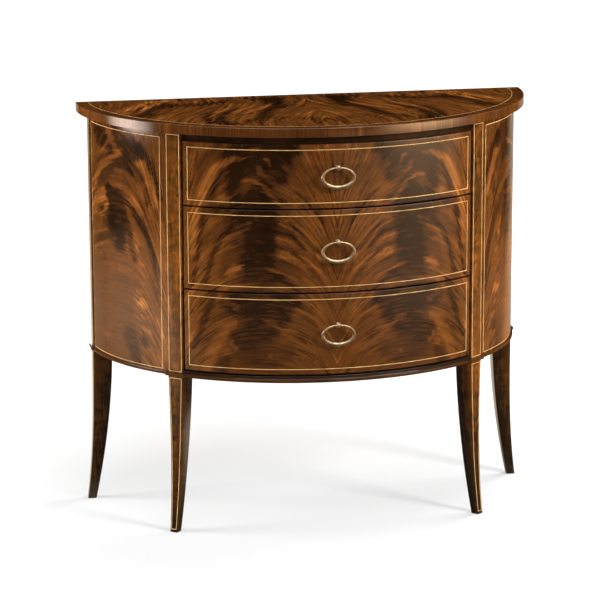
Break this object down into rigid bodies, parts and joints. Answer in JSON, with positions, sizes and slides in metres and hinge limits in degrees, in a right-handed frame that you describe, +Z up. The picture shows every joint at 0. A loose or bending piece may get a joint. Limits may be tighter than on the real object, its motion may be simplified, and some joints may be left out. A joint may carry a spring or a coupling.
{
  "type": "demilune cabinet",
  "caption": "Half-oval cabinet on splayed sabre legs, with bowed drawers on slides and oval ring pulls that swing.",
  "frame": {"origin": "on the floor, under the middle of the cabinet's overall box", "axes": "+X to the right along the straight back, +Y towards the back, +Z up"},
  "size_m": [0.965, 0.426, 0.864],
  "materials": {
    "top_veneer": "high-gloss lacquered flame mahogany veneer with a pale stringing line and a crossbanded edge",
    "drawer_veneer": "high-gloss lacquered crotch mahogany veneer with pale stringing",
    "panel_veneer": "high-gloss lacquered figured mahogany veneer with pale stringing",
    "leg_mahogany": "glossy dark mahogany with pale stringing",
    "moulding_mahogany": "glossy dark mahogany",
    "carcass_pine": "plain planed softwood",
    "drawer_oak": "waxed plain oak",
    "antique_brass": "antique polished"
  },
  "bodies": {
    "carcass": {"top_board": "top_veneer", "right_front_post": "leg_mahogany", "left_front_post": "leg_mahogany", "right_rear_post": "leg_mahogany", "left_rear_post": "leg_mahogany", "right_end_panel": "panel_veneer", "left_end_panel": "panel_veneer", "base_board": "carcass_pine", "back_panel": "carcass_pine", "right_partition": "carcass_pine", "left_partition": "carcass_pine", "frieze_rail": "leg_mahogany", "top_rear_rail": "carcass_pine", "right_kicker": "carcass_pine", "left_kicker": "carcass_pine", "lower_front_rail": "leg_mahogany", "lower_right_runner": "carcass_pine", "lower_left_runner": "carcass_pine", "lower_rear_rail": "carcass_pine", "lower_dust_panel": "carcass_pine", "upper_front_rail": "leg_mahogany", "upper_right_runner": "carcass_pine", "upper_left_runner": "carcass_pine", "upper_rear_rail": "carcass_pine", "upper_dust_panel": "carcass_pine", "front_base_moulding": "moulding_mahogany", "right_base_moulding": "moulding_mahogany", "left_base_moulding": "moulding_mahogany", "right_front_post_moulding": "moulding_mahogany", "left_front_post_moulding": "moulding_mahogany", "right_rear_post_moulding": "moulding_mahogany", "left_rear_post_moulding": "moulding_mahogany"},
    "top_drawer": {"top_drawer_front": "drawer_veneer", "top_drawer_right_side": "drawer_oak", "top_drawer_left_side": "drawer_oak", "top_drawer_back": "drawer_oak", "top_drawer_bottom": "drawer_oak", "top_pull_knob": "antique_brass", "top_pull_nut": "antique_brass"},
    "middle_drawer": {"middle_drawer_front": "drawer_veneer", "middle_drawer_right_side": "drawer_oak", "middle_drawer_left_side": "drawer_oak", "middle_drawer_back": "drawer_oak", "middle_drawer_bottom": "drawer_oak", "middle_pull_knob": "antique_brass", "middle_pull_nut": "antique_brass"},
    "bottom_drawer": {"bottom_drawer_front": "drawer_veneer", "bottom_drawer_right_side": "drawer_oak", "bottom_drawer_left_side": "drawer_oak", "bottom_drawer_back": "drawer_oak", "bottom_drawer_bottom": "drawer_oak", "bottom_pull_knob": "antique_brass", "bottom_pull_nut": "antique_brass"},
    "top_pull": {"top_pull_ring": "antique_brass"},
    "middle_pull": {"middle_pull_ring": "antique_brass"},
    "bottom_pull": {"bottom_pull_ring": "antique_brass"}
  },
  "joints": [
    {"name": "top_drawer_slide", "type": "slide", "parent": "carcass", "child": "top_drawer", "axis": [0, -1, 0], "range_m": [0, 0.2]},
    {"name": "middle_drawer_slide", "type": "slide", "parent": "carcass", "child": "middle_drawer", "axis": [0, -1, 0], "range_m": [0, 0.2]},
    {"name": "bottom_drawer_slide", "type": "slide", "parent": "carcass", "child": "bottom_drawer", "axis": [0, -1, 0], "range_m": [0, 0.2]},
    {"name": "top_pull_swing", "type": "hinge", "parent": "top_drawer", "child": "top_pull", "pos_m": [0, -0.207, 0.78204], "axis": [-1, 0, 0], "range_deg": [-10, 190]},
    {"name": "middle_pull_swing", "type": "hinge", "parent": "middle_drawer", "child": "middle_pull", "pos_m": [0, -0.207, 0.62858], "axis": [-1, 0, 0], "range_deg": [-10, 190]},
    {"name": "bottom_pull_swing", "type": "hinge", "parent": "bottom_drawer", "child": "bottom_pull", "pos_m": [0, -0.207, 0.4557], "axis": [-1, 0, 0], "range_deg": [-10, 190]}
  ]
}
